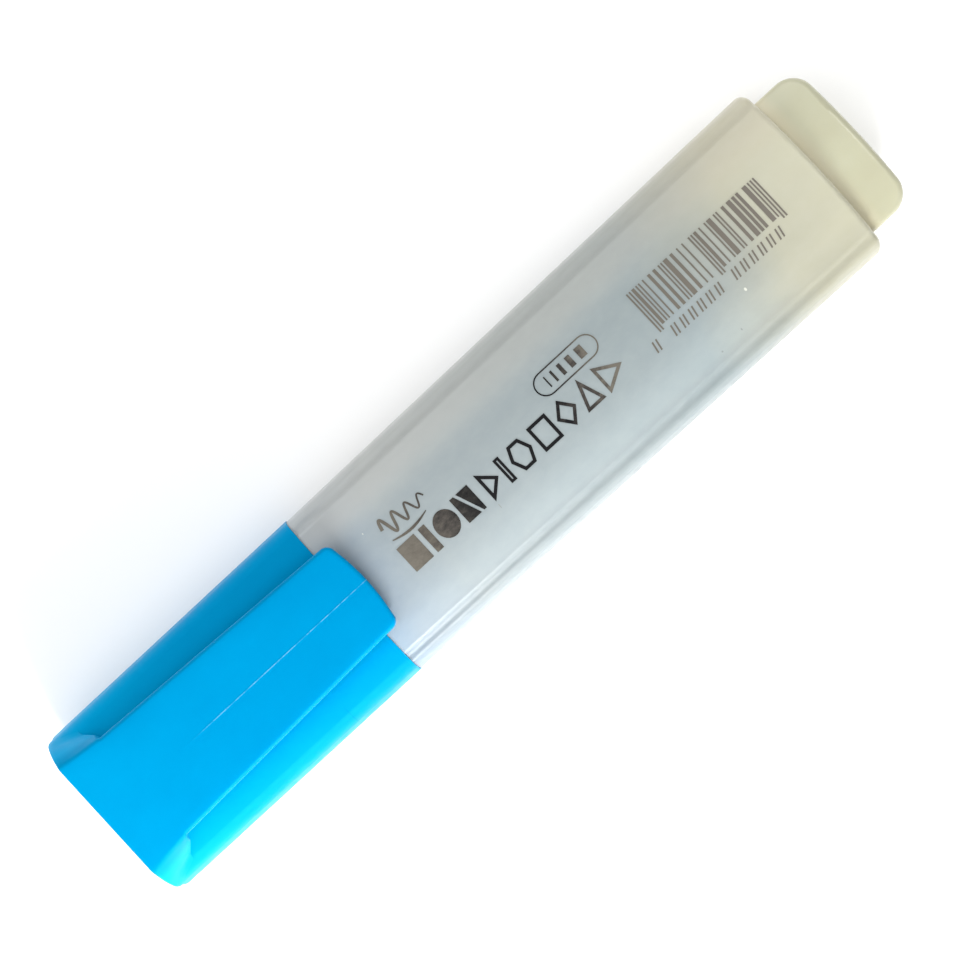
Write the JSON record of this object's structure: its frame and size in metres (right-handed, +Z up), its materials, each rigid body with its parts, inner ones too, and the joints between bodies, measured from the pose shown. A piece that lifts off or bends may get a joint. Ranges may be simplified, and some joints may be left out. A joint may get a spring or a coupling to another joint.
{
  "type": "highlighter pen",
  "caption": "Flat-bodied capped highlighter: frosted barrel with an end tab, bright blue cap with a long spring clip, chisel nib on a fibre ink reservoir.",
  "frame": {"origin": "below the middle of the overall length, on the plane the barrel's belly rests on", "axes": "+X along the pen from the cap's closed end to the end plug, +Z up out of the face with the clip, +Y completes the right-handed frame"},
  "size_m": [0.122, 0.0256, 0.0174],
  "materials": {
    "barrel_frosted": "frosted translucent polypropylene, soft sheen",
    "plug_cream": "semi-matte pale greenish cream moulding",
    "nose_plastic": "natural semi-matte moulding",
    "nib_felt": "bonded fibre, wet with blue ink",
    "reservoir_fibre": "bundled fibre soaked in blue ink",
    "film_clear": "thin clear film",
    "breather_plastic": "natural extruded tube",
    "cap_blue": "bright sky-blue moulding, satin",
    "inner_cap_plastic": "natural soft moulding"
  },
  "bodies": {
    "barrel": {"barrel": "barrel_frosted", "end_plug": "plug_cream", "nose_section": "nose_plastic", "nib": "nib_felt", "ink_reservoir": "reservoir_fibre", "reservoir_film": "film_clear", "breather_tube": "breather_plastic"},
    "cap": {"cap_shell": "cap_blue", "inner_cap": "inner_cap_plastic"},
    "clip": {"clip": "cap_blue"}
  },
  "joints": [
    {"name": "cap_slide", "type": "slide", "parent": "barrel", "child": "cap", "axis": [-1, 0, 0], "range_m": [0, 0.045]},
    {"name": "clip_flex", "type": "hinge", "parent": "cap", "child": "clip", "pos_m": [-0.0551, 0, 0.0165], "axis": [0, -1, 0], "range_deg": [0, 4], "stiffness_Nm_per_rad": 0.65}
  ]
}
